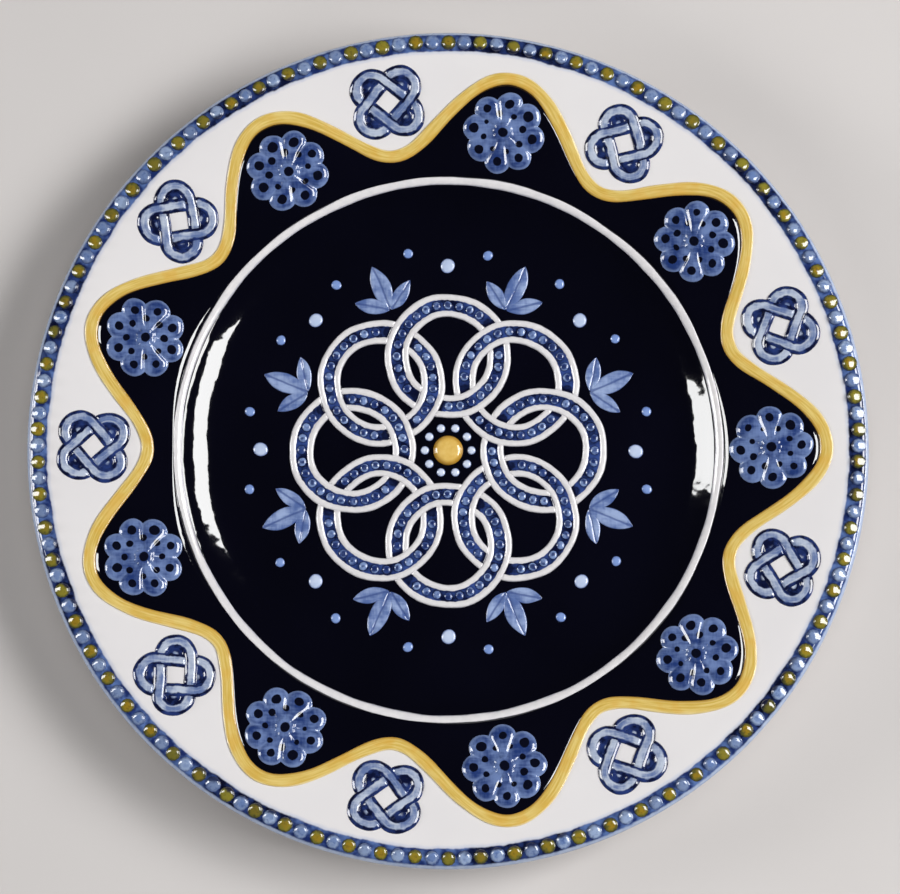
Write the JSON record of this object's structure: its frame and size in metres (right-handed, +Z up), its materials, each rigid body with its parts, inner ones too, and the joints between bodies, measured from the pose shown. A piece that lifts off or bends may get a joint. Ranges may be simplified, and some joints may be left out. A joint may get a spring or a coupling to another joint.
{
  "type": "salad plate",
  "caption": "Round glazed earthenware salad plate with a beaded edge, a wavy ribbon border, relief flowers and knots on the rim, and an interlaced medallion in the well.",
  "frame": {"origin": "on the table, under the middle of the plate", "axes": "+Z up through the middle of the plate; +X runs to the first rim flower, +Y to the top of the picture"},
  "size_m": [0.21, 0.21, 0.0202],
  "materials": {
    "white_glaze": "glossy",
    "bare_clay": "unglazed, smooth",
    "navy_glaze": "glossy",
    "white_slip": "glossy",
    "yellow_stain": "glossy, brushed",
    "pale_blue_bead": "glossy",
    "ochre_bead": "glossy",
    "mid_blue_glaze": "glossy, brushed",
    "line_blue_glaze": "glossy",
    "strap_glaze": "glossy",
    "pale_blue_glaze": "glossy"
  },
  "bodies": {
    "root": {"plate_body": "white_glaze", "foot_ring": "bare_clay", "well_coat": "navy_glaze", "rim_coat": "navy_glaze", "well_line": "white_slip", "rim_ribbon": "yellow_stain", "edge_beads_pale": "pale_blue_bead", "edge_beads_ochre": "ochre_bead", "rim_flower_1": "mid_blue_glaze", "rim_flower_2": "mid_blue_glaze", "rim_flower_3": "mid_blue_glaze", "rim_flower_4": "mid_blue_glaze", "rim_flower_5": "mid_blue_glaze", "rim_flower_6": "mid_blue_glaze", "rim_flower_7": "mid_blue_glaze", "rim_flower_8": "mid_blue_glaze", "rim_flower_9": "mid_blue_glaze", "rim_knot_1": "line_blue_glaze", "rim_knot_2": "line_blue_glaze", "rim_knot_3": "line_blue_glaze", "rim_knot_4": "line_blue_glaze", "rim_knot_5": "line_blue_glaze", "rim_knot_6": "line_blue_glaze", "rim_knot_7": "line_blue_glaze", "rim_knot_8": "line_blue_glaze", "rim_knot_9": "line_blue_glaze", "medallion_loop_1": "strap_glaze", "medallion_loop_2": "strap_glaze", "medallion_loop_3": "strap_glaze", "medallion_loop_4": "strap_glaze", "medallion_loop_5": "strap_glaze", "medallion_loop_6": "strap_glaze", "medallion_loop_7": "strap_glaze", "medallion_loop_8": "strap_glaze", "medallion_boss": "yellow_stain", "well_sprig_1": "pale_blue_glaze", "well_sprig_2": "pale_blue_glaze", "well_sprig_3": "pale_blue_glaze", "well_sprig_4": "pale_blue_glaze", "well_sprig_5": "pale_blue_glaze", "well_sprig_6": "pale_blue_glaze", "well_sprig_7": "pale_blue_glaze", "well_sprig_8": "pale_blue_glaze", "well_dots_1": "pale_blue_glaze", "well_dots_2": "pale_blue_glaze", "well_dots_3": "pale_blue_glaze", "well_dots_4": "pale_blue_glaze", "well_dots_5": "pale_blue_glaze", "well_dots_6": "pale_blue_glaze", "well_dots_7": "pale_blue_glaze", "well_dots_8": "pale_blue_glaze"}
  },
  "joints": []
}
